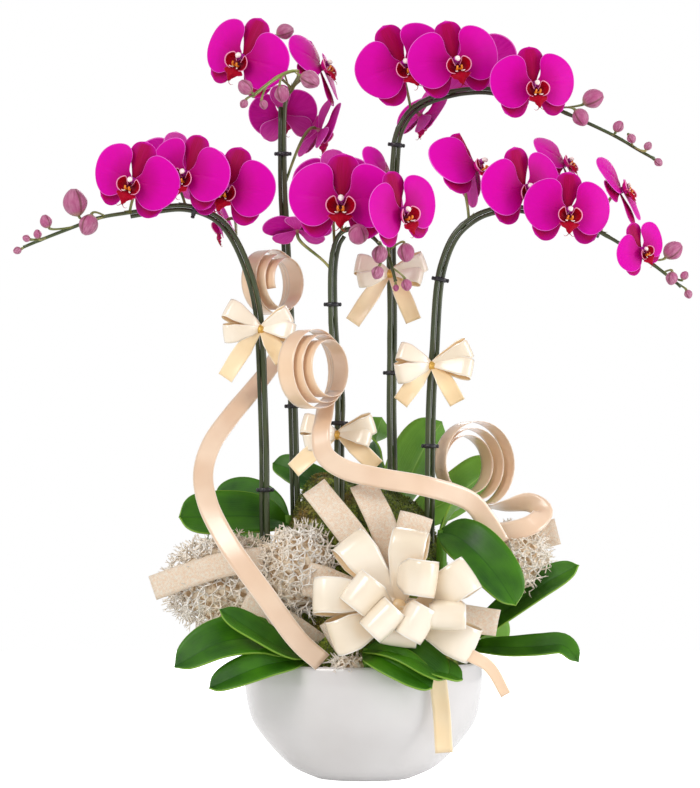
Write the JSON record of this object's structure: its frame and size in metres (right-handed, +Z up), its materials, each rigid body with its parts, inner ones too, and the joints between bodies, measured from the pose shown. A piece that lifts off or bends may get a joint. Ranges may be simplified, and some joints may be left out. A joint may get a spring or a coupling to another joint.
{
  "type": "potted moth orchid",
  "caption": "Potted moth orchid with arching flower spikes on wires, in a low round white bowl dressed with moss, lace lichen, strap leaves, ribbon rolls and bows.",
  "frame": {"origin": "centre of the flat underside of the bowl's foot", "axes": "+Z up, along the bowl's axis; +X to the viewer's right and -Y towards the viewer, the side that the blooms and the big bow face"},
  "size_m": [0.7357, 0.347, 0.8357],
  "materials": {
    "ceramic": "glossy white glaze",
    "bark": "rough bark medium",
    "moss": "dry green moss",
    "lichen": "bleached stiff twigs",
    "leaf": "waxy leaf",
    "stem": "smooth green stem",
    "wire": "plastic-covered wire",
    "bloom": "soft petal",
    "ivory_satin": "satin ribbon",
    "burlap": "open-weave burlap",
    "peach_satin": "satin ribbon"
  },
  "bodies": {
    "root": {"pot": "ceramic", "growing_medium": "bark", "moss_mound": "moss", "lace_left": "lichen", "lace_right": "lichen", "lace_front": "lichen", "leaves_left": "leaf", "leaves_left_low": "leaf", "leaves_front": "leaf", "leaves_back": "leaf", "leaves_right": "leaf", "leaves_right_low": "leaf", "spike_a": "stem", "spike_b": "stem", "spike_c": "stem", "spike_d": "stem", "spike_e": "stem", "stake_a": "wire", "stake_b": "wire", "stake_c": "wire", "stake_d": "wire", "stake_e": "wire", "bloom_a1": "bloom", "bloom_a2": "bloom", "bloom_a3": "bloom", "bloom_a4": "bloom", "bloom_a5": "bloom", "bloom_b1": "bloom", "bloom_b2": "bloom", "bloom_b3": "bloom", "bloom_b4": "bloom", "bloom_c1": "bloom", "bloom_c2": "bloom", "bloom_c3": "bloom", "bloom_c4": "bloom", "bloom_c5": "bloom", "bloom_d1": "bloom", "bloom_d2": "bloom", "bloom_d3": "bloom", "bloom_d4": "bloom", "bloom_d5": "bloom", "bloom_e1": "bloom", "bloom_e2": "bloom", "bloom_e3": "bloom", "bloom_e4": "bloom", "bloom_e5": "bloom", "bloom_e6": "bloom", "small_bow_a": "ivory_satin", "small_bow_c": "ivory_satin", "small_bow_d": "ivory_satin", "small_bow_e": "ivory_satin", "satin_bow": "ivory_satin", "burlap_bow": "burlap", "burlap_left": "burlap", "burlap_front": "burlap", "burlap_right": "burlap", "ribbon_left": "peach_satin", "ribbon_middle": "peach_satin", "ribbon_right": "peach_satin"}
  },
  "joints": []
}
